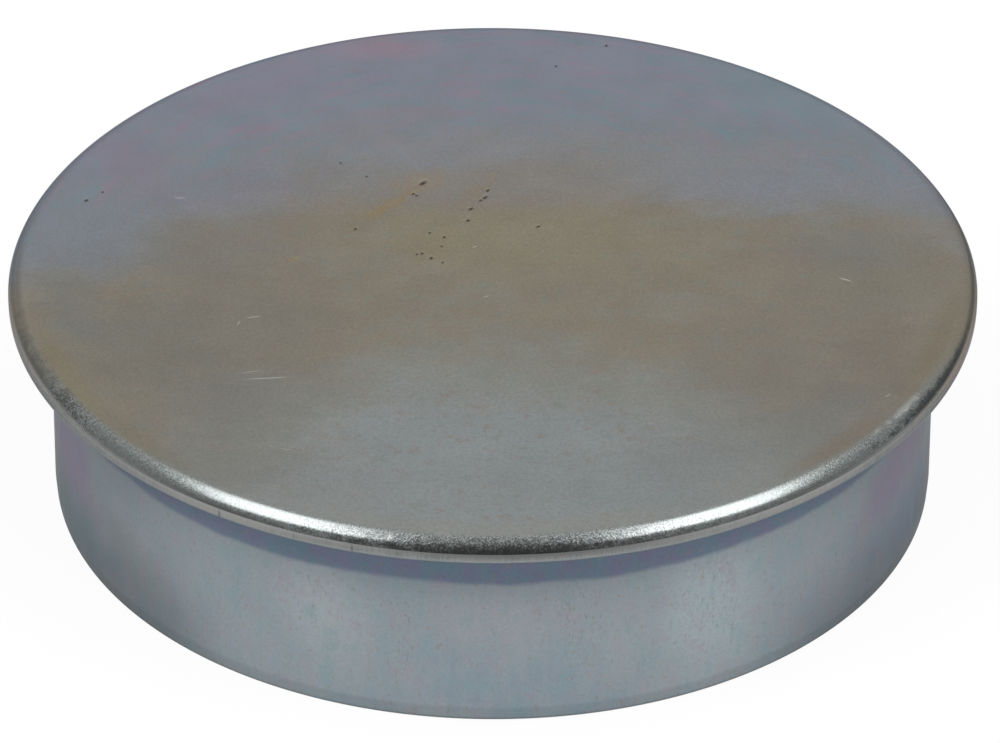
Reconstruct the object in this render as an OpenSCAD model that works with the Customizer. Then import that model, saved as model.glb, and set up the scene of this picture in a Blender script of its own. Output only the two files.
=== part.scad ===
// Hub grease cap, pressed and folded from one round blank of sheet steel.
// It stands on its mouth with the closed crown up. The axis is Z, and the
// origin is the centre of the mouth's edge.

/* [Skirt] */
// Outside diameter of the skirt, a press fit in the hub's bore
skirt_d = 72.2; // [50:0.1:100]
// Length of the skirt, from the seat under the rim to the mouth
skirt_l = 17.2; // [10:0.1:40]
// Height of the taper that leads the skirt into the bore
lead_h = 1.3; // [0.8:0.1:3]
// How far the taper draws the mouth in, on each side
lead_in = 0.1; // [0.05:0.05:0.4]
// Rounding of the trimmed edge at the mouth
mouth_r = 0.2; // [0.1:0.05:0.35]

/* [Rim] */
// How far the folded rim stands out past the skirt
rim_out = 3.4; // [2.8:0.05:8]
// Outside radius where the crown rolls over into the rim
rim_top_r = 1.6; // [1.2:0.1:1.8]
// Depth that sizing takes off the roll-over, which leaves an upright land
land_cut = 0.1; // [0.05:0.05:0.2]
// Radius of the rim's lower outside corner
rim_low_r = 0.5; // [0.2:0.05:0.6]
// Space left between the two flattened layers of the rim
hem_gap = 0.1; // [0.05:0.05:0.3]
// Radius in the corner between the seat and the skirt
seat_r = 0.4; // [0.2:0.1:1]

/* [Sheet] */
// Thickness of the sheet
sheet_t = 1; // [0.8:0.1:1.5]

/* [Hidden] */
$fn = 180;

zinc = [0.55, 0.57, 0.60];

// Radii from the axis
skirt_r = skirt_d / 2;
skirt_in_r = skirt_r - sheet_t;
rim_r = skirt_r + rim_out;

// Heights above the mouth
rim_t = 2 * sheet_t + hem_gap;
crown_z = skirt_l + rim_t;
crown_under_z = crown_z - sheet_t;
seat_layer_z = skirt_l + sheet_t;

// The sheet turns down from the seat into the skirt round this centre line
bend_r = seat_r + sheet_t;
bend_z = skirt_l - seat_r;

// Centre line of the roll-over, which is wider than the rim by the sizing cut
roll_r = rim_r + land_cut - rim_top_r;
roll_z = crown_z - rim_top_r;

// The slit between the layers ends one sheet inside the roll-over
slit_end_r = rim_r - land_cut - sheet_t - hem_gap / 2;

// Direction in which the taper climbs from the mouth
taper_angle = atan2(lead_h, lead_in);

// Cutting shapes run this far past the surface that they cut
over = 1;

// What lies between a square corner and its rounding of radius r. The
// rounding's centre is at the origin, and the corner is towards +X and +Y.
module square_corner(r) {
    difference() {
        square(r + over);
        circle(r);
    }
}

// The same for one edge of the mouth. The corner is at p, its sides leave it
// in the directions a and b, and r is the radius.
module mouth_corner(p, a, b, r) {
    half = (b - a) / 2;
    reach = r + over;
    translate(p) rotate((a + b) / 2) translate([r / sin(half), 0]) difference() {
        polygon(reach * [[0, 0], [-sin(half), cos(half)], [-sin(half), -cos(half)]]);
        circle(r);
    }
}

// Outside of the cap from its axis outwards, with no hollow yet
module outer_outline() {
    difference() {
        union() {
            // crown and rim
            translate([0, skirt_l]) square([rim_r, rim_t]);
            // straight part of the skirt
            translate([0, lead_h]) square([skirt_r, skirt_l - lead_h]);
            // lead-in taper
            polygon([
                [0, 0],
                [skirt_r - lead_in, 0],
                [skirt_r, lead_h],
                [0, lead_h]
            ]);
            // rounded inside corner under the seat
            translate([skirt_r + seat_r, bend_z]) mirror([1, 0]) square_corner(seat_r);
        }
        // roll-over of the crown
        translate([roll_r, roll_z]) square_corner(rim_top_r);
        // lower corner of the rim
        translate([rim_r - rim_low_r, skirt_l + rim_low_r]) mirror([0, 1])
            square_corner(rim_low_r);
        // outside edge of the mouth
        mouth_corner([skirt_r - lead_in, 0], taper_angle, 180, mouth_r);
    }
}

// Everything inside the sheet: the cup, the slit in the rim and the groove
// that the bend leaves between them
module hollow_outline() {
    // the cup, down to its taper
    translate([0, lead_h]) square([skirt_in_r, crown_under_z - lead_h]);
    polygon([
        [0, -over],
        [skirt_in_r - lead_in, -over],
        [skirt_in_r - lead_in, 0],
        [skirt_in_r, lead_h],
        [0, lead_h]
    ]);
    // inside edge of the mouth
    mouth_corner([skirt_in_r - lead_in, 0], 0, taper_angle, mouth_r);
    // slit between the two layers, with a rounded end
    translate([0, seat_layer_z]) square([slit_end_r, hem_gap]);
    translate([slit_end_r, seat_layer_z + hem_gap / 2]) circle(hem_gap / 2);
    // groove round the outside of the bend
    difference() {
        translate([skirt_in_r, bend_z]) square([bend_r, crown_under_z - bend_z]);
        translate([skirt_in_r + bend_r, bend_z]) circle(bend_r);
    }
}

module cap() {
    color(zinc) rotate_extrude() difference() {
        outer_outline();
        hollow_outline();
    }
}

cap();
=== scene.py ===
import math

import bmesh
import bpy
from mathutils import Matrix, Quaternion, Vector


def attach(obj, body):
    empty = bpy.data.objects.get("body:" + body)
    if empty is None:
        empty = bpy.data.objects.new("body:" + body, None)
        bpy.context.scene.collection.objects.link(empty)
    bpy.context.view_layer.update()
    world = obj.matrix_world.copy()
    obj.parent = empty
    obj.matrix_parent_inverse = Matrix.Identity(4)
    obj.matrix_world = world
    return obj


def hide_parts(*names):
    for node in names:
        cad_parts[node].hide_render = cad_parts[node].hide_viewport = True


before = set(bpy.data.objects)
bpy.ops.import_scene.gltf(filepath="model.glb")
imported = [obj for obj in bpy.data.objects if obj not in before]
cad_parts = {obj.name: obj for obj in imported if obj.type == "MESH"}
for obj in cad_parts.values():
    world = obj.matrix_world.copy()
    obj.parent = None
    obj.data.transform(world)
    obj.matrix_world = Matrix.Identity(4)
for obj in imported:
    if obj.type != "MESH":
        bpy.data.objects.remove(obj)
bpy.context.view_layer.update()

# Sizes of the cap in millimetres, the same as in the part's source
SKIRT_R = 36.1
SKIRT_L = 17.2
LEAD_H = 1.3
LEAD_IN = 0.1
MOUTH_R = 0.2
RIM_R = 39.5
RIM_TOP_R = 1.6
LAND_CUT = 0.1
RIM_LOW_R = 0.5
HEM_GAP = 0.1
SEAT_R = 0.4
SHEET_T = 1.0

SKIRT_IN_R = SKIRT_R - SHEET_T
CROWN_Z = SKIRT_L + 2 * SHEET_T + HEM_GAP
CROWN_UNDER_Z = CROWN_Z - SHEET_T
SEAT_LAYER_Z = SKIRT_L + SHEET_T
BEND_R = SEAT_R + SHEET_T
BEND_Z = SKIRT_L - SEAT_R
ROLL_R = RIM_R + LAND_CUT - RIM_TOP_R
ROLL_Z = CROWN_Z - RIM_TOP_R
SLIT_END_R = RIM_R - LAND_CUT - SHEET_T - HEM_GAP / 2
LAND_ANGLE = math.acos((RIM_R - ROLL_R) / RIM_TOP_R)
LAND_TOP_Z = ROLL_Z + RIM_TOP_R * math.sin(LAND_ANGLE)
TAPER_ANGLE = math.atan2(LEAD_H, LEAD_IN)

# The flat middle of the crown is a grid, so that pits can be let into it
FLAT_R = 37.7
GRID_STEP = 2.0
AROUND = 720
WEDGES = 8
MM = 0.001
MERGE = 0.0005
# Rings this far inside the ends of a straight keep its shading flat
EASE = 0.1
FINE_EASE = 0.05
# Steps in the arcs of the section
ROLL_STEPS, CORNER_STEPS, MOUTH_STEPS, SLIT_STEPS = 24, 8, 6, 4


class Pen:
    """Draws the section of the sheet in millimetres, and turns it round the axis."""

    def __init__(self, bm, r, z):
        self.bm = bm
        self.tip = bm.verts.new((r, 0, z))
        self.stretch = []

    def line(self, r, z, parts=1, ease=0.0):
        """Draws to (r, z), with a ring this far inside each end so that shading stays flat."""
        start, end = self.tip.co.copy(), Vector((r, 0, z))
        length = (end - start).length
        stops = [i / parts for i in range(1, parts)]
        if ease:
            stops = sorted(stops + [ease / length, 1 - ease / length])
        for stop in stops + [1]:
            made = bmesh.ops.extrude_vert_indiv(self.bm, verts=[self.tip])
            self.tip = made["verts"][0]
            self.tip.co = start.lerp(end, stop)
            self.stretch += made["edges"]

    def arc(self, r, z, angle, parts):
        """Swings round (r, z). A positive angle is clockwise, with the axis on the left."""
        before = set(self.bm.edges)
        made = bmesh.ops.spin(
            self.bm, geom=[self.tip], cent=(r, 0, z), axis=(0, 1, 0), angle=angle,
            steps=parts, use_duplicate=False)
        self.tip = [g for g in made["geom_last"] if isinstance(g, bmesh.types.BMVert)][0]
        self.stretch += [e for e in self.bm.edges if e not in before]

    def turn(self, finish):
        """Turns what is drawn so far into one wedge of the cap and gives it a finish."""
        before = set(self.bm.faces)
        points = list(dict.fromkeys(v for e in self.stretch for v in e.verts))
        bmesh.ops.spin(
            self.bm, geom=points + self.stretch, cent=(0, 0, 0), axis=(0, 0, 1),
            angle=math.tau / WEDGES, steps=AROUND // WEDGES, use_duplicate=False)
        for face in self.bm.faces:
            if face not in before:
                face.material_index = finish
        self.stretch = []
        self.tip = self.bm.verts.new(self.tip.co)


def close_round(bm):
    """Doubles the wedge until it goes right round the axis."""
    count = 1
    while count < WEDGES:
        made = bmesh.ops.duplicate(bm, geom=bm.verts[:] + bm.edges[:] + bm.faces[:])
        bmesh.ops.rotate(
            bm, verts=[g for g in made["geom"] if isinstance(g, bmesh.types.BMVert)],
            cent=(0, 0, 0), matrix=Matrix.Rotation(math.tau * count / WEDGES, 3, "Z"))
        count *= 2


# Order of the finishes on the cap
CROWN, LAND, SKIRT, INSIDE = range(4)


def corner_centre(a, b):
    """Centre of a mouth rounding, seen from the corner whose sides leave at a and b."""
    reach = MOUTH_R / math.sin((b - a) / 2)
    return Vector((reach * math.cos((a + b) / 2), reach * math.sin((a + b) / 2)))


def draw_shell(bm):
    """The whole skin of the cap: outside from the crown down, then inside back up."""
    quarter = math.pi / 2
    pen = Pen(bm, FLAT_R, CROWN_Z)
    pen.line(ROLL_R, CROWN_Z, ease=EASE)
    pen.arc(ROLL_R, ROLL_Z, quarter - LAND_ANGLE, ROLL_STEPS)
    pen.turn(CROWN)
    pen.line(RIM_R, ROLL_Z, ease=FINE_EASE)
    pen.arc(RIM_R - RIM_LOW_R, ROLL_Z, quarter, CORNER_STEPS)
    pen.turn(LAND)
    pen.line(SKIRT_R + SEAT_R, SKIRT_L, ease=FINE_EASE)
    pen.arc(SKIRT_R + SEAT_R, BEND_Z, -quarter, CORNER_STEPS)
    pen.line(SKIRT_R, LEAD_H, parts=6, ease=EASE)
    outer = Vector((SKIRT_R - LEAD_IN, 0)) + corner_centre(TAPER_ANGLE, math.pi)
    pen.line(outer.x + MOUTH_R * math.sin(TAPER_ANGLE),
             outer.y - MOUTH_R * math.cos(TAPER_ANGLE), ease=EASE)
    pen.arc(outer.x, outer.y, TAPER_ANGLE, MOUTH_STEPS)
    inner = Vector((SKIRT_IN_R - LEAD_IN, 0)) + corner_centre(0, TAPER_ANGLE)
    pen.line(inner.x, 0)
    pen.turn(SKIRT)
    pen.arc(inner.x, inner.y, math.pi - TAPER_ANGLE, MOUTH_STEPS)
    pen.line(SKIRT_IN_R, LEAD_H, ease=EASE)
    pen.line(SKIRT_IN_R, BEND_Z, parts=3, ease=EASE)
    pen.arc(SKIRT_IN_R + BEND_R, BEND_Z, quarter, CORNER_STEPS)
    pen.line(SLIT_END_R, SEAT_LAYER_Z)
    pen.arc(SLIT_END_R, SEAT_LAYER_Z + HEM_GAP / 2, -math.pi, SLIT_STEPS)
    pen.line(0, CROWN_UNDER_Z, parts=3)
    pen.turn(INSIDE)


def lay_crown_middle(bm):
    """The flat middle of the crown, one disc cut into squares."""
    disc = bmesh.ops.create_circle(bm, segments=AROUND, radius=FLAT_R, cap_ends=True)
    ring = list(disc["verts"])
    bmesh.ops.translate(bm, verts=ring, vec=(0, 0, CROWN_Z))
    cuts = int(FLAT_R / GRID_STEP)
    for side in ((1, 0, 0), (0, 1, 0)):
        for i in range(-cuts, cuts + 1):
            bmesh.ops.bisect_plane(
                bm, geom=bm.verts[:] + bm.edges[:] + bm.faces[:], dist=MERGE,
                plane_co=Vector(side) * i * GRID_STEP, plane_no=side)
    # The cuts end on the ring's own points, so that the turned rim meets it all round
    kept = set(ring)
    ends = [v for v in bm.verts if v.is_boundary and v not in kept]
    bmesh.ops.weld_verts(bm, targetmap={
        end: min(ring, key=lambda v: (v.co - end.co).length_squared) for end in ends})
    for face in bm.faces:
        face.material_index = CROWN


# Corrosion pits in the crown: place, half width, how long for its width, turn in degrees
PITS = (
    (-5.83, 13.4, 0.23, 1.9, 53), (-6.6, 11.7, 0.14, 1.5, 60), (-6.33, 11.45, 0.12, 1.4, 60),
    (-0.45, 12.25, 0.15, 1.6, 55), (-0.65, 11.2, 0.18, 1.7, 60), (-1.02, 10.7, 0.13, 1.5, 45),
    (-1.84, 9.4, 0.17, 1.6, 52), (-2.07, 7.6, 0.17, 1.4, 70), (-4.0, 5.0, 0.13, 1.6, 75),
    (-4.2, 3.6, 0.11, 1.5, 90), (-11.3, 6.2, 0.13, 1.5, 80), (3.7, 6.7, 0.15, 1.5, 45),
    (-5.8, 2.5, 0.13, 1.6, 90), (-6.2, 2.35, 0.11, 1.5, 90), (-5.03, 1.8, 0.15, 1.5, 80),
    (-4.1, 1.1, 0.11, 1.5, 90), (-5.2, 5.65, 0.11, 1.5, 90), (-10.5, 14.4, 0.10, 1.5, 75),
    (-12.7, 16.5, 0.10, 1.5, 75), (5.3, 32.2, 0.11, 1.6, 75), (9.6, 35.6, 0.12, 1.9, 80),
    (-33.6, 10.5, 0.16, 1.5, 60), (-32.3, 11.8, 0.11, 1.5, 75),
)
PIT_DEPTH_SHARE = 0.35
# Squares round the pits are cut in three steps: reach in half widths, cuts, least area cut
PIT_CUTS = ((4.0, 4, 1.0), (3.0, 3, 0.1), (2.0, 1, 0.008))
# A pit ends this many half widths from its middle
PIT_END = 2.5


def near_a_pit(place, reach, spare):
    """Whether a place is within this many half widths of a pit, and a spare distance."""
    return any(
        math.hypot(place.x - x, place.y - y) < reach * half + spare
        for x, y, half, *_ in PITS)


def sink_pits(bm):
    """Lets the pits into the crown, where the squares round them are cut finer."""
    for reach, cuts, least in PIT_CUTS:
        near = [f for f in bm.faces if len(f.verts) == 4 and f.calc_area() > least
                and not any(e.is_boundary for e in f.edges)
                and near_a_pit(f.calc_center_median(), reach, f.calc_perimeter() / 6)]
        edges = list(dict.fromkeys(e for f in near for e in f.edges))
        bmesh.ops.subdivide_edges(bm, edges=edges, cuts=cuts, use_grid_fill=True)
    depth = bm.verts.layers.float.new("pit")
    for x, y, half, longer, turn in PITS:
        along = Matrix.Rotation(-math.radians(turn), 3, "Z")
        end = PIT_END * half * longer
        for vert in bm.verts:
            if abs(vert.co.x - x) < end and abs(vert.co.y - y) < end:
                away = along @ Vector((vert.co.x - x, vert.co.y - y, 0))
                share = math.exp(-((away.x / longer) ** 2 + away.y ** 2) / half ** 2)
                vert[depth] = max(vert[depth], share)
                vert.co.z -= PIT_DEPTH_SHARE * half * share


def build_cap():
    """One closed shell: the turned section, with the crown's middle joined into it."""
    bm = bmesh.new()
    draw_shell(bm)
    close_round(bm)
    middle = bmesh.new()
    lay_crown_middle(middle)
    sink_pits(middle)
    loose_mesh = bpy.data.meshes.new("crown_middle")
    middle.to_mesh(loose_mesh)
    middle.free()
    bm.from_mesh(loose_mesh)
    bpy.data.meshes.remove(loose_mesh)
    bmesh.ops.remove_doubles(bm, verts=bm.verts, dist=MERGE)
    loose = [v for v in bm.verts if not v.link_faces]
    bmesh.ops.delete(bm, geom=loose, context="VERTS")
    bmesh.ops.recalc_face_normals(bm, faces=bm.faces)
    for face in bm.faces:
        face.smooth = True
    # The land's top edge stays crisp
    for edge in bm.edges:
        if all(abs(math.hypot(v.co.x, v.co.y) - RIM_R) < MERGE
               and abs(v.co.z - LAND_TOP_Z) < MERGE for v in edge.verts):
            edge.smooth = False
    bmesh.ops.scale(bm, verts=bm.verts, vec=(MM, MM, MM))
    mesh = bpy.data.meshes.new("cap_shell")
    bm.to_mesh(mesh)
    bm.free()
    cap = bpy.data.objects.new("cap_shell", mesh)
    bpy.context.scene.collection.objects.link(cap)
    return cap


# Node building
def add(tree, kind, inputs=None, **settings):
    """Adds a node. Inputs are constants or the sockets of other nodes."""
    made = tree.nodes.new(kind)
    for name, value in settings.items():
        setattr(made, name, value)
    for name, value in (inputs or {}).items():
        if isinstance(value, bpy.types.NodeSocket):
            tree.links.new(value, made.inputs[name])
        else:
            made.inputs[name].default_value = value
    return made


def maths(tree, operation, *values):
    """One sum, on constants or sockets."""
    return add(tree, "ShaderNodeMath", dict(enumerate(values)), operation=operation).outputs[0]


def ramp(tree, value, low, high, to_low=0.0, to_high=1.0):
    """A smooth step from one level to another."""
    return add(tree, "ShaderNodeMapRange", {
        "Value": value, "From Min": low, "From Max": high, "To Min": to_low,
        "To Max": to_high}, interpolation_type="SMOOTHSTEP").outputs["Result"]


def mix(tree, share, first, second, blend="MIX"):
    """The first colour where the share is 0 and the second where it is 1."""
    made = add(tree, "ShaderNodeMix", data_type="RGBA", blend_type=blend)
    for index, value in ((0, share), (6, first), (7, second)):
        if isinstance(value, bpy.types.NodeSocket):
            tree.links.new(value, made.inputs[index])
        else:
            made.inputs[index].default_value = value
    return made.outputs[2]


def clouds(tree, place, size, detail=2.0, rough=0.5, stretch=(1, 1, 1)):
    """Noise with blotches of about this size in millimetres."""
    scaled = add(tree, "ShaderNodeMapping", {
        "Vector": place, "Scale": tuple(1 / (size * s) for s in stretch)}).outputs[0]
    return add(tree, "ShaderNodeTexNoise", {
        "Vector": scaled, "Scale": 1.0, "Detail": detail, "Roughness": rough}).outputs["Fac"]


def grey(level):
    return (level, level, level, 1)


def tint(red, green, blue):
    """A colour as it is seen on a screen, from 0 to 255, made linear."""
    return tuple(
        (c / 255 / 12.92 if c < 10.3 else ((c / 255 + 0.055) / 1.055) ** 2.4)
        for c in (red, green, blue)) + (1,)


def new_finish(name):
    """A material with its position in millimetres."""
    material = bpy.data.materials.new(name)
    material.use_nodes = True
    tree = material.node_tree
    tree.nodes.clear()
    shader = add(tree, "ShaderNodeBsdfPrincipled")
    add(tree, "ShaderNodeOutputMaterial", {"Surface": shader.outputs[0]})
    place = add(tree, "ShaderNodeTexCoord").outputs["Object"]
    place = add(tree, "ShaderNodeMapping", {
        "Vector": place, "Scale": (1 / MM, 1 / MM, 1 / MM)}).outputs[0]
    return material, tree, shader, place


# Zinc doesn't brighten towards its edges as a dielectric does
EDGE_TINT = (0.35, 0.35, 0.37, 1)


def from_axis(tree, place):
    """Distance from the cap's axis."""
    flat = add(tree, "ShaderNodeMapping", {"Vector": place, "Scale": (1, 1, 0)}).outputs[0]
    return add(tree, "ShaderNodeVectorMath", {0: flat}, operation="LENGTH").outputs["Value"]


def round_rim(side, radius):
    """The point at this many degrees from the front, at this radius."""
    turn = math.radians(side)
    return radius * math.sin(turn), -radius * math.cos(turn)


def patch(tree, place, x, y, half_x, half_y, turn=0.0):
    """Distance from a patch's middle, where 1 is its edge. Turn is in degrees."""
    local = add(tree, "ShaderNodeMapping", {
        "Vector": place, "Location": (x, y, 0), "Rotation": (0, 0, math.radians(turn)),
        "Scale": (half_x, half_y, 1e6)}, vector_type="TEXTURE").outputs[0]
    return add(tree, "ShaderNodeVectorMath", {0: local}, operation="LENGTH").outputs["Value"]


def surface_patch(tree, place, side, radius, z, half, half_z, turn=0.0):
    """The same on an upright wall, at this many degrees from the front and this height."""
    local = add(tree, "ShaderNodeMapping", {
        "Vector": place, "Location": (*round_rim(side, radius), z),
        "Rotation": (0, math.radians(turn), math.radians(side)),
        "Scale": (half, half, half_z)}, vector_type="TEXTURE").outputs[0]
    return add(tree, "ShaderNodeVectorMath", {0: local}, operation="LENGTH").outputs["Value"]


def film_ramp(tree, value, stops):
    """The film's tints in order, each at its place between 0 and 1."""
    made = add(tree, "ShaderNodeValToRGB", {"Fac": value})
    ramp_stops = made.color_ramp.elements
    while len(ramp_stops) < len(stops):
        ramp_stops.new(0.5)
    for element, (place, colour) in zip(ramp_stops, stops):
        element.position = place
        element.color = colour
    return made.outputs["Color"]


def bump(tree, height, distance, normal=None):
    """Relief of this height in metres, on top of another relief if one is given."""
    inputs = {"Height": height, "Distance": distance}
    if normal:
        inputs["Normal"] = normal
    return add(tree, "ShaderNodeBump", inputs).outputs[0]


def dimmed(tree, colour, level):
    """A colour times a level, which may vary over the surface."""
    return mix(tree, 1.0, colour, level, "MULTIPLY")


def dab(tree, colour, far, strength, other, edge=1.3, core=0.3):
    """Lays another tint on a colour, from a patch's edge to full strength at its core."""
    return mix(tree, ramp(tree, far, edge, core, 0, strength), colour, other)


# The film goes from pale blue at the front, over a straw-brown arch, to blue and violet
# at the back. Both borders are sides of large ellipses: middle, half sizes, turn.
FRONT_BORDER = (0.0, -37.0, 31.0, 28.0, 0.0)
BACK_BORDER = (6.6, -56.7, 64.3, 70.0, 9.7)
FRONT_FADE = (0.40, 1.10)
BACK_FADE = (0.92, 1.17)
VIOLET_FADE = (1.12, 1.32)
# How far each border moves along the film's tints, and how far the clouds push it about
FRONT_STEP, BACK_STEP, VIOLET_STEP, FILM_WOBBLE = 0.40, 0.35, 0.25, 0.05
FILM_STOPS = (
    (0.00, tint(129, 134, 135)),
    (0.14, tint(129, 132, 129)),
    (0.28, tint(126, 126, 119)),
    (0.40, tint(126, 120, 107)),
    (0.48, tint(126, 121, 110)),
    (0.57, tint(125, 124, 121)),
    (0.67, tint(124, 127, 131)),
    (0.78, tint(122, 128, 136)),
    (1.00, tint(126, 129, 142)),
)
# Faint patches of other tints: middle, half sizes, turn, colour, strength
FILM_PATCHES = (
    (-9.5, 34.8, 5, 2.4, 6, tint(144, 126, 138), 0.6),
    (-9, 23.5, 8, 1.8, 14, tint(132, 124, 132), 0.5),
    (-30, 16, 4, 6, 35, tint(129, 122, 135), 0.6),
    (-20, 29, 9, 3, 40, tint(130, 125, 140), 0.6),
    (23, 29, 11, 4, -48, tint(117, 132, 139), 0.7),
    (-32, 4, 7, 6.5, 35, tint(120, 126, 133), 0.75),
    (19, 14, 11, 5, -20, tint(128, 132, 138), 0.6),
    (3, 5, 15, 7, 0, tint(131, 125, 106), 0.6),
    (-28, -12, 8, 9, 40, tint(114, 112, 104), 0.7),
    (-34, -6, 3, 7, 25, tint(116, 116, 111), 0.7),
    (28, -21, 9, 5, 50, tint(114, 111, 104), 0.7),
    (31, -2, 8, 8, 0, tint(119, 116, 107), 0.6),
    (23, 1, 5, 3, 20, tint(127, 117, 106), 0.5),
    (31, -13, 5, 9, 0, tint(117, 112, 103), 0.7),
    (21, -26, 14, 7, 20, tint(120, 123, 121), 0.65),
    (-21, -20, 8, 6, 30, tint(117, 118, 114), 0.65),
    (-23, 3, 7, 5, 20, tint(119, 118, 116), 0.5),
    (-2, 19, 13, 4, 0, tint(130, 129, 130), 0.5),
    (10, -31, 13, 5, 0, tint(124, 129, 128), 0.5),
    (-13, -33, 9, 4, 15, tint(126, 129, 126), 0.5),
    (-16, -9, 7, 5, 20, tint(119, 115, 106), 0.4),
    (-22, -9, 10, 17, 0, tint(117, 114, 107), 0.5),
    (-21, -29, 8, 6, 25, tint(117, 117, 112), 0.65),
    (22, -15, 8, 11, 0, tint(117, 114, 108), 0.5),
    (0, 13, 24, 4, 0, tint(128, 126, 126), 0.5),
    (25, 12, 12, 4.5, 0, tint(123, 128, 136), 0.45),
    (-22, 12, 8, 4.5, 0, tint(123, 123, 134), 0.45),
    (29, 4, 7, 4, 0, tint(116, 118, 115), 0.5),
)
# Tints that hug the rim: middle of the arc in degrees from the front, half its length in
# millimetres, colour, strength
RIM_TINTS = (
    (-66, 9, tint(122, 114, 94), 0.55),
    (-48, 7, tint(116, 111, 98), 0.5),
    (72, 10, tint(118, 110, 94), 0.6),
    (48, 8, tint(115, 106, 94), 0.6),
    (0, 24, tint(130, 132, 127), 0.7),
)
RIM_TINT_R = 37.4
RIM_TINT_WIDTH = 1.9
# A long arc's patch is deeper, because the rim curves away from it
RIM_TINT_CURVE = 120
# Pink and teal streaks behind run round the axis: millimetres of noise for a radian
FILM_SWEEP = 9.0
PINK_STREAK = tint(136, 123, 138)
TEAL_STREAK = tint(114, 131, 140)
STREAK_STRENGTH = 0.75
# Fine mottling, and its strength before and behind the back border
WARM_MOTTLE = tint(128, 118, 110)
COOL_MOTTLE = tint(119, 124, 117)
MOTTLE_FRONT, MOTTLE_BACK = 0.7, 0.25
# Rusty stains round the pits: middle, half sizes, turn, strength
STAINS = (
    (-8.9, 9.6, 3.0, 0.9, 42, 0.5),
    (-6.2, 13.6, 2.4, 1.8, 20, 0.35),
    (-1.4, 12.0, 1.0, 2.8, -28, 0.28),
    (-5.0, 4.0, 3.0, 4.0, 0, 0.15),
    (-16.3, 1.5, 0.7, 0.7, 0, 0.4),
)
STAIN_TINT = tint(140, 122, 92)
# Fine bright scratches: middle, half sizes, turn, strength
SCRATCHES = (
    (-18.0, -16.2, 2.4, 0.08, 6, 0.65),
    (-19.4, -15.3, 1.4, 0.06, 12, 0.45),
    (-19.3, -7.2, 0.9, 0.08, 14, 0.6),
    (-20.5, -8.1, 0.5, 0.08, 70, 0.45),
    (28.7, -1.3, 0.8, 0.09, -28, 0.75),
    (-25.9, 10.9, 0.6, 0.10, 0, 0.6),
    (-16.2, -26.4, 0.8, 0.06, -10, 0.35),
    (-17.4, -26.0, 0.6, 0.06, -6, 0.25),
    (31.5, -18.4, 0.5, 0.08, 40, 0.5),
    (-1.5, 3.5, 0.35, 0.11, 25, 0.45),
    (-0.5, -4.0, 0.35, 0.10, 25, 0.5),
)
SCRATCH_TINT = tint(186, 184, 176)
# Levels of the fine grain, which is weaker behind
GRAIN_DARK, GRAIN_LIGHT, GRAIN_BACK = 0.90, 1.10, 0.4
PIT_TINT = tint(52, 48, 45)
PIT_STRENGTH = 0.85
# Painted shade, painted highlights and tarnish on the roll-over. The marks low on it, from
# 18.25 to 18.44 high, are painted shade where dark and painted highlights where light; the
# dark mark at -78 degrees is painted shade, the light flecks at 58 degrees and the fleck at
# -12 are painted highlights; the lumps at -61 and -70 degrees are tarnish. Columns: degrees
# from the front, height, half length and half height in millimetres, how ragged, colour,
# strength
ROLL_TARNISH_SHADE_AND_GLINTS = (
    (1, 18.25, 16, 0.70, 0.35, tint(68, 69, 69), 0.95),
    (65, 18.75, 9, 0.30, 0.3, tint(58, 61, 61), 0.9),
    (40, 18.40, 8, 0.20, 0.3, tint(92, 94, 94), 0.6),
    (-34, 18.35, 8, 0.20, 0.3, tint(86, 87, 87), 0.7),
    (-61, 18.90, 2.2, 0.5, 1.2, tint(66, 66, 64), 0.65),
    (-70, 18.80, 6, 0.4, 0.6, tint(88, 88, 86), 0.6),
    (-50, 18.36, 9, 0.14, 0.3, tint(134, 135, 133), 0.6),
    (52, 18.36, 9, 0.14, 0.3, tint(130, 131, 129), 0.55),
    (-75, 18.44, 15, 0.20, 0.2, tint(152, 149, 144), 0.7),
    (76, 18.44, 14, 0.20, 0.2, tint(152, 143, 135), 0.7),
    (-78, 19.12, 13, 0.16, 0.2, tint(100, 98, 92), 0.5),
    (58, 19.24, 3, 0.08, 0.8, tint(172, 172, 168), 0.6),
    (-12, 19.15, 0.5, 0.25, 0.6, tint(200, 200, 198), 0.8),
)
# Bare steel of the roll-over, dark and light, and the same where it is grainiest
WORN_STEEL = (tint(104, 108, 107), tint(121, 126, 125))
GRITTY_STEEL = (tint(95, 98, 98), tint(127, 132, 131))
# Where the roll-over is grainiest: degrees from the front, half length in millimetres
GRAINY = ((0, 17), (-58, 5))
# The film is worn off the roll-over at the front only, between these distances forward
WORN_FROM, WORN_TO = 6, 22
# A line of painted shade, standing in for a dark reflection, runs along the roll-over at each
# side: its height, how far aside it comes in, and its strength, of which the left side keeps a
# share
SIDE_LINE_Z = 18.83
SIDE_LINE_FROM, SIDE_LINE_TO = 31, 37
SIDE_SHADE_LINE_TINT = tint(66, 70, 70)
SIDE_LINE_STRENGTH = 0.55
SIDE_LINE_LEFT = 0.4
# Relief in metres: torn grain of the worn roll-over, and the plate's own fine grain
PEEL_HEIGHT = 0.000008
PLATE_HEIGHT = 0.0000015
# Roughness from smooth to matt
FILM_ROUGH = (0.38, 0.46)
WORN_ROUGH = (0.20, 0.27)


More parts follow.
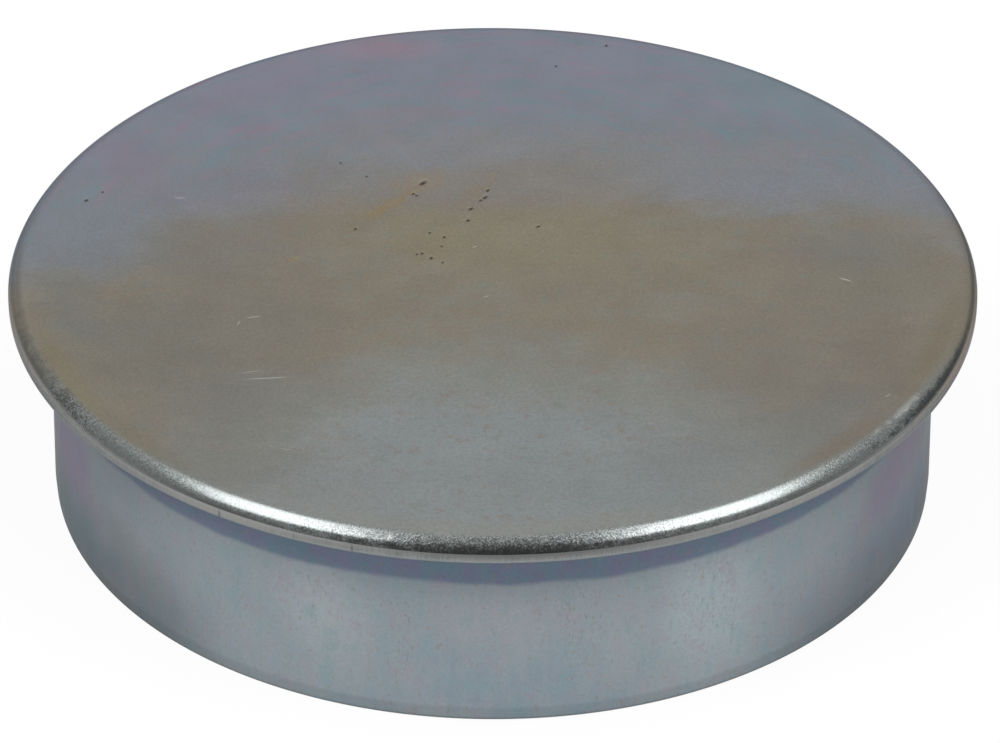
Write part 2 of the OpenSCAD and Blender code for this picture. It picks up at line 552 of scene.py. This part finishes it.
def crown_finish():
    """Zinc plate under a thin passivate film that tints it in soft patches."""
    material, tree, shader, place = new_finish("passivated_zinc_crown")
    radius = from_axis(tree, place)
    rolled = ramp(tree, radius, ROLL_R - 0.1, ROLL_R + 0.7)

    soft = clouds(tree, place, 7, 3, 0.5, stretch=(1.5, 0.8, 1))
    parts = add(tree, "ShaderNodeSeparateXYZ", {0: place})
    turn_round = maths(tree, "ARCTAN2", parts.outputs["X"], parts.outputs["Y"])
    swept = add(tree, "ShaderNodeCombineXYZ", {
        "X": radius, "Y": maths(tree, "MULTIPLY", turn_round, FILM_SWEEP)}).outputs[0]
    streaky = clouds(tree, place, 2.4, 4, 0.6, stretch=(1.8, 0.8, 1))
    rings = clouds(tree, swept, 1.5, 4, 0.65, stretch=(0.9, 1, 1))
    front = ramp(tree, patch(tree, place, *FRONT_BORDER), *FRONT_FADE, 0, FRONT_STEP)
    back_far = patch(tree, place, *BACK_BORDER)
    back = ramp(tree, back_far, *BACK_FADE, 0, BACK_STEP)
    violet = ramp(tree, back_far, *VIOLET_FADE, 0, VIOLET_STEP)
    film = maths(tree, "ADD", maths(tree, "ADD", front, back), violet)
    for cloud, low, high in ((soft, 0.3, 0.7), (streaky, 0.2, 0.8)):
        push = ramp(tree, cloud, low, high, -FILM_WOBBLE, FILM_WOBBLE)
        film = maths(tree, "ADD", film, push)
    colour = film_ramp(tree, film, FILM_STOPS)
    behind = ramp(tree, back_far, 1.0, 1.15)
    pinks = maths(tree, "MULTIPLY", ramp(tree, rings, 0.52, 0.68, 0, STREAK_STRENGTH), behind)
    colour = mix(tree, pinks, colour, PINK_STREAK)
    teals = maths(tree, "MULTIPLY", ramp(tree, rings, 0.48, 0.34, 0, STREAK_STRENGTH), behind)
    colour = mix(tree, teals, colour, TEAL_STREAK)
    mottle = clouds(tree, place, 1.6, 4, 0.7)
    calm = ramp(tree, back_far, 1.0, 1.2, MOTTLE_FRONT, MOTTLE_BACK)
    warm = maths(tree, "MULTIPLY", ramp(tree, mottle, 0.52, 0.72), calm)
    cool = maths(tree, "MULTIPLY", ramp(tree, mottle, 0.48, 0.28), calm)
    colour = mix(tree, warm, colour, WARM_MOTTLE)
    colour = mix(tree, cool, colour, COOL_MOTTLE)
    ragged = ramp(tree, streaky, 0.2, 0.8, -0.3, 0.3)
    for x, y, half_x, half_y, turn, shade, strength in FILM_PATCHES:
        far = maths(tree, "ADD", patch(tree, place, x, y, half_x, half_y, turn), ragged)
        colour = dab(tree, colour, far, strength, shade, core=0.2)
    near_rim = ramp(tree, radius, RIM_TINT_R - RIM_TINT_WIDTH, RIM_TINT_R)
    for side, half, shade, strength in RIM_TINTS:
        x, y = round_rim(side, RIM_TINT_R)
        far = patch(tree, place, x, y, half, RIM_TINT_WIDTH + half ** 2 / RIM_TINT_CURVE, side)
        share = maths(tree, "MULTIPLY", ramp(tree, far, 1.1, 0.3, 0, strength), near_rim)
        colour = mix(tree, share, colour, shade)

    blotch = clouds(tree, place, 0.9, 3, 0.6)
    for x, y, half_x, half_y, turn, strength in STAINS:
        far = maths(tree, "ADD", patch(tree, place, x, y, half_x, half_y, turn),
                    ramp(tree, blotch, 0.25, 0.75, -0.5, 0.5))
        colour = dab(tree, colour, far, strength, STAIN_TINT, 1.2, 0.4)

    grain = clouds(tree, place, 0.22, 3, 0.6)
    grained = dimmed(tree, colour, ramp(tree, grain, 0.25, 0.75, GRAIN_DARK, GRAIN_LIGHT))
    colour = mix(tree, ramp(tree, back_far, 1.0, 1.2, 1.0, GRAIN_BACK), colour, grained)
    for x, y, half_x, half_y, turn, strength in SCRATCHES:
        far = patch(tree, place, x, y, half_x, half_y, turn)
        colour = dab(tree, colour, far, strength, SCRATCH_TINT, edge=1.0)
    pitted = add(tree, "ShaderNodeAttribute", attribute_name="pit").outputs["Fac"]
    colour = mix(tree, ramp(tree, pitted, 0.1, 0.9, 0, PIT_STRENGTH), colour, PIT_TINT)
    coarse = 0.0
    for side, half in GRAINY:
        x, y = round_rim(side, RIM_R)
        near = ramp(tree, patch(tree, place, x, y, half, half, side), 1.2, 0.5)
        coarse = maths(tree, "MAXIMUM", coarse, near)
    grit = clouds(tree, place, 0.16, 3, 0.6)
    steel = mix(tree, ramp(tree, grit, 0.35, 0.65), *WORN_STEEL)
    gritty = mix(tree, ramp(tree, grit, 0.38, 0.62), *GRITTY_STEEL)
    steel = mix(tree, coarse, steel, gritty)
    forward = maths(tree, "MULTIPLY", parts.outputs["Y"], -1.0)
    worn = maths(tree, "MULTIPLY", rolled, ramp(tree, forward, WORN_FROM, WORN_TO))
    colour = mix(tree, worn, colour, steel)
    # Painted shade and painted highlights on the roll-over, with a little tarnish
    for side, z, half, half_z, rag, shade, strength in ROLL_TARNISH_SHADE_AND_GLINTS:
        far = surface_patch(tree, place, side, RIM_R, z, half, half_z)
        far = maths(tree, "ADD", far, ramp(tree, blotch, 0.25, 0.75, -rag, rag))
        far = maths(tree, "ADD", far, ramp(tree, grit, 0.25, 0.75, -rag, rag))
        share = maths(tree, "MULTIPLY", ramp(tree, far, 1.3, 0.3, 0, strength), rolled)
        colour = mix(tree, share, colour, shade)
    # Painted shade: a dark line along the roll-over's sides, weaker on the left
    off_line = maths(tree, "ABSOLUTE", maths(tree, "SUBTRACT", parts.outputs["Z"], SIDE_LINE_Z))
    aside = maths(tree, "ABSOLUTE", parts.outputs["X"])
    line = maths(tree, "MULTIPLY", ramp(tree, off_line, 0.24, 0.04, 0, SIDE_LINE_STRENGTH),
                 ramp(tree, aside, SIDE_LINE_FROM, SIDE_LINE_TO))
    to_right = ramp(tree, parts.outputs["X"], -1, 1, SIDE_LINE_LEFT, 1.0)
    line = maths(tree, "MULTIPLY", line, to_right)
    colour = mix(tree, maths(tree, "MULTIPLY", line, rolled), colour, SIDE_SHADE_LINE_TINT)
    tree.links.new(colour, shader.inputs["Base Color"])

    shader.inputs["Metallic"].default_value = 0.9
    shader.inputs["Specular Tint"].default_value = EDGE_TINT
    rough = ramp(tree, clouds(tree, place, 4, 3), 0.2, 0.8, *FILM_ROUGH)
    rough = mix(tree, worn, rough, ramp(tree, grit, 0.3, 0.7, *WORN_ROUGH))
    tree.links.new(rough, shader.inputs["Roughness"])
    peel = maths(tree, "MULTIPLY", clouds(tree, place, 0.15, 2, 0.6), worn)
    peel = maths(tree, "MULTIPLY", peel, ramp(tree, coarse, 0, 1, 0.30, 0.45))
    peel = maths(tree, "MULTIPLY", peel, ramp(tree, parts.outputs["Z"], 19.2, 18.8, 0.5, 1.0))
    normal = bump(tree, peel, PEEL_HEIGHT)
    fine = clouds(tree, place, 0.12, 2)
    tree.links.new(bump(tree, fine, PLATE_HEIGHT, normal), shader.inputs["Normal"])
    return material


# The land: drag lines dark and light, clouds, and painted reflections that lighten its lower
# corner and its upper part
LAND_LINES = (tint(110, 113, 111), tint(131, 133, 131))
LAND_CLOUD = tint(129, 128, 127)
LAND_FOOT_SHEEN = tint(146, 156, 160)
LAND_TOP_SHEEN = tint(146, 147, 146)
LAND_HATCH_HEIGHT = 0.000004
# Tints on the land: the dark patch at the front is painted shade, the light patches at -33
# and 38 degrees are painted highlights, the three narrow ones are drag marks. Columns:
# degrees from the front, height, half length and half height, colour, strength
LAND_MARKS_SHADE_AND_SHEEN = (
    (4, 18.30, 14, 0.50, tint(92, 93, 93), 0.8),
    (-33, 18.0, 8, 0.6, tint(143, 143, 141), 0.6),
    (38, 18.0, 8, 0.6, tint(143, 143, 141), 0.6),
    (76, 18.0, 7, 1.0, tint(150, 122, 118), 0.5),
    (-32.7, 17.70, 0.15, 0.55, tint(76, 80, 84), 0.6),
    (-23.0, 17.65, 0.10, 0.50, tint(84, 88, 92), 0.45),
    (-16.0, 17.70, 0.12, 0.55, tint(76, 80, 84), 0.6),
)


def land_finish():
    """The upright land, ironed smooth by the sizing die, with fine upright drag lines."""
    material, tree, shader, place = new_finish("ironed_zinc_land")
    hatch = clouds(tree, place, 0.12, 2, stretch=(1, 1, 12))
    wide = clouds(tree, place, 5, 2)
    colour = mix(tree, ramp(tree, hatch, 0.3, 0.7), *LAND_LINES)
    colour = mix(tree, ramp(tree, wide, 0.35, 0.7, 0, 0.5), colour, LAND_CLOUD)
    height = add(tree, "ShaderNodeSeparateXYZ", {0: place}).outputs["Z"]
    # Painted reflections lighten the land's lower corner and its upper part
    colour = mix(tree, ramp(tree, height, 17.85, 17.40, 0, 0.6), colour, LAND_FOOT_SHEEN)
    colour = mix(tree, ramp(tree, height, 17.85, 18.15, 0, 0.4), colour, LAND_TOP_SHEEN)
    # Painted shade and painted highlights on the land, and drag marks
    for side, z, half, half_z, shade, strength in LAND_MARKS_SHADE_AND_SHEEN:
        far = surface_patch(tree, place, side, RIM_R, z, half, half_z)
        colour = dab(tree, colour, far, strength, shade)
    tree.links.new(colour, shader.inputs["Base Color"])
    shader.inputs["Metallic"].default_value = 0.8
    shader.inputs["Specular Tint"].default_value = EDGE_TINT
    shader.inputs["Roughness"].default_value = 0.28
    tree.links.new(bump(tree, hatch, LAND_HATCH_HEIGHT), shader.inputs["Normal"])
    return material


# The skirt's film, the band of painted shade under the rim, and smaller marks
SKIRT_FILM = (tint(121, 134, 142), tint(130, 138, 143))
SKIRT_STREAK = tint(142, 148, 150)
SKIRT_PINK = tint(136, 128, 138)
SKIRT_TEAL = tint(112, 138, 142)
# Painted shade under the rim's overhang, added to the real shadow from the key lights: its
# lower edge and two tints
SHADE_BAND_LOW_Z = 13.1
SHADE_BAND_TINTS = (tint(92, 113, 126), tint(104, 106, 128))
SPECK_TINT = tint(128, 116, 106)
TICK_TINT = tint(106, 103, 101)
# Painted contact shade along the mouth's edge, where the skirt meets the floor
FOOT_SHADE_TINT = tint(84, 88, 88)
# Below this height the lead-in is painted a little darker, as painted shade
LEAD_SHADE_Z = 1.45
LEAD_SHADE_LEVEL = 0.88
# Painted shade darkens the skirt towards its sides: from and to, in millimetres aside, and both
# levels
SIDE_SHADES = ((20, 34, 1.03, 0.74), (33.5, 36, 1.0, 0.7))
# Painted shade darkens its foot further there
SIDE_FOOT_LEVEL = 0.66
SKIRT_ROUGH = (0.40, 0.50)
SKIRT_GRAIN = (0.94, 1.06)
SKIRT_GRAIN_HEIGHT = 0.000003
# Tints on the skirt, of which the light patches at -22 and 28 degrees are painted highlights:
# degrees from the front, height, half length and half height in millimetres, turn, colour,
# strength
SKIRT_TINTS_AND_SHEEN = (
    (-72, 8.5, 8, 4.5, 0, tint(124, 108, 138), 0.8),
    (-72, 3.0, 9, 3.2, 0, tint(96, 124, 130), 0.8),
    (-52, 6.0, 6, 3.0, 20, tint(124, 120, 118), 0.4),
    (-40, 9.0, 6, 6.0, 0, tint(126, 136, 144), 0.4),
    (-22, 9.0, 6, 4.0, 60, tint(150, 157, 158), 0.5),
    (0, 9.5, 9, 3.5, 0, tint(134, 135, 141), 0.5),
    (28, 8.0, 5, 8.0, 0, tint(150, 161, 165), 0.55),
    (47, 5.5, 6, 5.0, 0, tint(124, 130, 142), 0.5),
    (66, 10.0, 8, 3.5, -10, tint(124, 108, 134), 0.75),
    (70, 4.0, 10, 4.0, 0, tint(100, 118, 142), 0.75),
    (4, 3.2, 14, 4.0, 0, tint(114, 128, 138), 0.65),
    (-46, 3.5, 5, 4.0, 0, tint(112, 124, 128), 0.5),
    (180, 9.0, 24, 5.0, 0, tint(134, 134, 142), 0.4),
)
# Columns of small dark tick marks: degrees from the front, height, half width, half height
TICK_COLUMNS = ((-11, 7.5, 0.9, 6.0), (-24, 10.0, 2.0, 3.0), (11, 9.5, 2.2, 4.0),
                (29, 8.0, 3.0, 5.0))


def skirt_finish():
    """Drawn skirt: blue-grey film, with a band of painted shade under the rim."""
    material, tree, shader, place = new_finish("drawn_zinc_skirt")
    parts = add(tree, "ShaderNodeSeparateXYZ", {0: place})
    height = parts.outputs["Z"]
    streaks = clouds(tree, place, 0.9, 3, 0.6, stretch=(1, 1, 6))
    wide = clouds(tree, place, 6, 4, 0.6)
    colour = mix(tree, ramp(tree, wide, 0.3, 0.7), *SKIRT_FILM)
    ragged = ramp(tree, wide, 0.2, 0.8, -0.4, 0.4)
    # Film tints, with painted highlights in the light patches
    for side, z, half, half_z, turn, shade, strength in SKIRT_TINTS_AND_SHEEN:
        far = surface_patch(tree, place, side, SKIRT_R, z, half, half_z, turn)
        far = maths(tree, "ADD", far, ragged)
        colour = dab(tree, colour, far, strength, shade, core=0.2)
    colour = mix(tree, ramp(tree, streaks, 0.3, 0.75, 0, 0.3), colour, SKIRT_STREAK)
    dapple = clouds(tree, place, 1.5, 4, 0.65, stretch=(1, 1, 1.5))
    colour = mix(tree, ramp(tree, dapple, 0.52, 0.68, 0, 0.45), colour, SKIRT_PINK)
    colour = mix(tree, ramp(tree, dapple, 0.48, 0.32, 0, 0.45), colour, SKIRT_TEAL)
    # Painted shade under the rim's overhang, its lower edge made wavy
    wavy = maths(tree, "ADD", height, ramp(tree, wide, 0.2, 0.8, -0.2, 0.2))
    shade_band = ramp(tree, wavy, SHADE_BAND_LOW_Z - 0.3, SHADE_BAND_LOW_Z + 0.3)
    shade_band_colour = mix(tree, ramp(tree, dapple, 0.35, 0.65), *SHADE_BAND_TINTS)
    colour = mix(tree, shade_band, colour, shade_band_colour)
    specks = clouds(tree, place, 0.35, 3, 0.7, stretch=(1, 1, 1.6))
    colour = mix(tree, ramp(tree, specks, 0.55, 0.73, 0, 0.6), colour, SPECK_TINT)
    fine = clouds(tree, place, 0.2, 3, 0.6)
    colour = dimmed(tree, colour, ramp(tree, fine, 0.25, 0.75, *SKIRT_GRAIN))
    marks = clouds(tree, place, 0.14, 2, 0.6, stretch=(1, 1, 5))
    for side, z, half, half_z in TICK_COLUMNS:
        near = ramp(tree, surface_patch(tree, place, side, SKIRT_R, z, half, half_z), 1.3, 0.4)
        near = maths(tree, "MULTIPLY", near, ramp(tree, marks, 0.58, 0.70, 0, 0.6))
        colour = mix(tree, near, colour, TICK_TINT)
    # Painted shade on the lead-in
    lead_shade = ramp(tree, height, LEAD_SHADE_Z, LEAD_SHADE_Z - 0.5, 1.0, LEAD_SHADE_LEVEL)
    colour = dimmed(tree, colour, lead_shade)
    # Painted contact shade at the mouth's edge
    colour = mix(tree, ramp(tree, height, 0.40, 0.10, 0, 0.6), colour, FOOT_SHADE_TINT)
    # Painted shade towards the skirt's sides and at its foot there
    aside = maths(tree, "ABSOLUTE", parts.outputs["X"])
    for start, end, level, end_level in SIDE_SHADES:
        colour = dimmed(tree, colour, ramp(tree, aside, start, end, level, end_level))
    foot_shade = maths(tree, "MULTIPLY", ramp(tree, aside, 18, 30), ramp(tree, height, 9, 0))
    colour = mix(tree, foot_shade, colour, dimmed(tree, colour, grey(SIDE_FOOT_LEVEL)))
    tree.links.new(colour, shader.inputs["Base Color"])
    shader.inputs["Metallic"].default_value = 0.45
    shader.inputs["Specular Tint"].default_value = EDGE_TINT
    rough = ramp(tree, streaks, 0.2, 0.8, *SKIRT_ROUGH)
    tree.links.new(rough, shader.inputs["Roughness"])
    tree.links.new(bump(tree, fine, SKIRT_GRAIN_HEIGHT), shader.inputs["Normal"])
    return material


# The inside's film, its drawing lines, roughness and relief
INSIDE_FILM = (tint(118, 124, 130), tint(132, 130, 122))
INSIDE_LINES = tint(142, 144, 144)
INSIDE_ROUGH = (0.42, 0.55)
INSIDE_LINES_HEIGHT = 0.000004


def inside_finish():
    """The inside of the cup, duller than the outside and with faint drawing lines."""
    material, tree, shader, place = new_finish("drawn_zinc_inside")
    wide = clouds(tree, place, 8, 4, 0.6)
    lines = clouds(tree, place, 0.5, 3, 0.6, stretch=(1, 1, 9))
    colour = mix(tree, ramp(tree, wide, 0.3, 0.7), *INSIDE_FILM)
    colour = mix(tree, ramp(tree, lines, 0.3, 0.8, 0, 0.4), colour, INSIDE_LINES)
    tree.links.new(colour, shader.inputs["Base Color"])
    shader.inputs["Metallic"].default_value = 0.6
    rough = ramp(tree, wide, 0.2, 0.8, *INSIDE_ROUGH)
    tree.links.new(rough, shader.inputs["Roughness"])
    tree.links.new(bump(tree, lines, INSIDE_LINES_HEIGHT), shader.inputs["Normal"])
    return material


# Floor: half its side in metres and how pale it is
FLOOR_HALF = 3.0
FLOOR_PALE = 0.55
# The floor lies a hair below the mouth's edge, so that the two never show through each other
FLOOR_DROP = 0.00002
# Share of plain white that the camera and reflections see in it
FLOOR_WHITE_SHARE = 0.92


def make_floor():
    """A pale floor that keeps the cap's shadow."""
    bm = bmesh.new()
    bmesh.ops.create_grid(bm, x_segments=1, y_segments=1, size=FLOOR_HALF)
    bmesh.ops.translate(bm, verts=bm.verts, vec=(0, 0, -FLOOR_DROP))
    mesh = bpy.data.meshes.new("floor")
    bm.to_mesh(mesh)
    bm.free()
    floor = bpy.data.objects.new("floor", mesh)
    bpy.context.scene.collection.objects.link(floor)
    material = bpy.data.materials.new("pale_floor")
    material.use_nodes = True
    tree = material.node_tree
    tree.nodes.clear()
    paper = add(tree, "ShaderNodeBsdfDiffuse", {"Color": grey(FLOOR_PALE)}).outputs[0]
    white = add(tree, "ShaderNodeEmission", {"Color": grey(1), "Strength": 1.0}).outputs[0]
    path = add(tree, "ShaderNodeLightPath")
    seen = maths(tree, "MAXIMUM", path.outputs["Is Camera Ray"], path.outputs["Is Glossy Ray"])
    share = maths(tree, "MULTIPLY", seen, FLOOR_WHITE_SHARE)
    both = add(tree, "ShaderNodeMixShader", {0: share, 1: paper, 2: white}).outputs[0]
    add(tree, "ShaderNodeOutputMaterial", {"Surface": both})
    mesh.materials.append(material)


# Light: a leaning softbox on each side, two soft keys in front, and the room
SOFTBOX_MIDDLE = Vector((0.385, 0.190, 1.060))
SOFTBOX_WIDE = Vector((0.428, 0.714, -0.554))
SOFTBOX_LONG = Vector((0.062, 0.588, 0.807))
SOFTBOX_LENGTH = 1.640
# Name, side, width and how far it is drawn in across its width
SOFTBOXES = (("softbox_right", 1, 0.365, 0.0), ("softbox_left", -1, 0.365, 0.030))
SOFTBOX_RADIANCE = 7.0
KEY_DISTANCE = 0.9
KEY_RISE = math.radians(52)
KEY_SIZE = 0.30
KEY_PLACES = (("key_left", math.radians(-33)), ("key_right", math.radians(33)))
KEY_RADIANCE = 11.0
FILL = 0.25


def hang_lamp(name, place, turned, size, radiance):
    """One flat lamp of this radiance, unseen by the camera."""
    data = bpy.data.lights.new(name, "AREA")
    data.shape = "RECTANGLE"
    data.size, data.size_y = size
    data.energy = radiance * math.pi * size[0] * size[1]
    lamp = bpy.data.objects.new(name, data)
    lamp.rotation_mode = "QUATERNION"
    lamp.rotation_quaternion = turned
    lamp.location = place
    lamp.visible_camera = False
    bpy.context.scene.collection.objects.link(lamp)
    return lamp


def hang_lamps():
    for name, side, width, drawn_in in SOFTBOXES:
        mirror = Vector((side, 1, 1))
        wide, long = side * SOFTBOX_WIDE * mirror, SOFTBOX_LONG * mirror
        axes = Matrix((wide, long, wide.cross(long))).transposed()
        place = (SOFTBOX_MIDDLE - drawn_in * SOFTBOX_WIDE) * mirror
        hang_lamp(name, place, axes.to_quaternion(), (width, SOFTBOX_LENGTH),
                  SOFTBOX_RADIANCE)
    for name, side in KEY_PLACES:
        place = KEY_DISTANCE * Vector((
            math.cos(KEY_RISE) * math.sin(side), -math.cos(KEY_RISE) * math.cos(side),
            math.sin(KEY_RISE)))
        key = hang_lamp(name, place, (-place).to_track_quat("-Z", "Y"), (KEY_SIZE, KEY_SIZE),
                        KEY_RADIANCE)
        key.visible_glossy = False


# The room as metal reflects it: pale behind the cap, greyer at the sides, dim in front
ROOM_BACK = 0.82
ROOM_SIDE = 0.60
ROOM_FRONT = 0.25


def light_room():
    """White where the camera looks, and a plain room for everything else."""
    world = bpy.data.worlds.new("room")
    bpy.context.scene.world = world
    world.use_nodes = True
    tree = world.node_tree
    tree.nodes.clear()
    way = add(tree, "ShaderNodeTexCoord").outputs["Generated"]
    parts = add(tree, "ShaderNodeSeparateXYZ", {0: way})
    wall = ramp(tree, parts.outputs["Y"], 0.0, 0.6, ROOM_SIDE, ROOM_BACK)
    aside = maths(tree, "ABSOLUTE", parts.outputs["X"])
    front = maths(tree, "MULTIPLY", ramp(tree, parts.outputs["Y"], -0.25, -0.55),
                  ramp(tree, aside, 0.5, 0.2))
    room = mix(tree, front, wall, grey(ROOM_FRONT))
    path = add(tree, "ShaderNodeLightPath")
    glossy = mix(tree, path.outputs["Is Glossy Ray"], grey(FILL), room)
    seen = maths(tree, "MAXIMUM", path.outputs["Is Camera Ray"],
                 path.outputs["Is Transmission Ray"])
    colour = mix(tree, seen, glossy, grey(1))
    back = add(tree, "ShaderNodeBackground", {"Color": colour, "Strength": 1.0}).outputs[0]
    add(tree, "ShaderNodeOutputWorld", {"Surface": back})


# Camera, placed by a fit to the outline of the rim and skirt
CAMERA_PLACE = Vector((0.0, -0.560260, 0.376586))
CAMERA_AIM = Vector((0.000615, 0.0, 0.009390))
CAMERA_ROLL = math.radians(0.2214)
CAMERA_LENS = 293.39


def set_camera():
    data = bpy.data.cameras.new("camera")
    data.sensor_width = 36.0
    data.lens = CAMERA_LENS
    data.clip_start, data.clip_end = 0.01, 20.0
    camera = bpy.data.objects.new("camera", data)
    turned = (CAMERA_AIM - CAMERA_PLACE).to_track_quat("-Z", "Y")
    turned = turned @ Quaternion((0, 0, 1), CAMERA_ROLL)
    camera.matrix_world = Matrix.Translation(CAMERA_PLACE) @ turned.to_matrix().to_4x4()
    bpy.context.scene.collection.objects.link(camera)
    bpy.context.scene.camera = camera


set_camera()
light_room()
hang_lamps()
make_floor()

cap = build_cap()
for finish in (crown_finish(), land_finish(), skirt_finish(), inside_finish()):
    cap.data.materials.append(finish)
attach(cap, "root")
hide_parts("cap")

bpy.context.scene.view_settings.view_transform = "Standard"
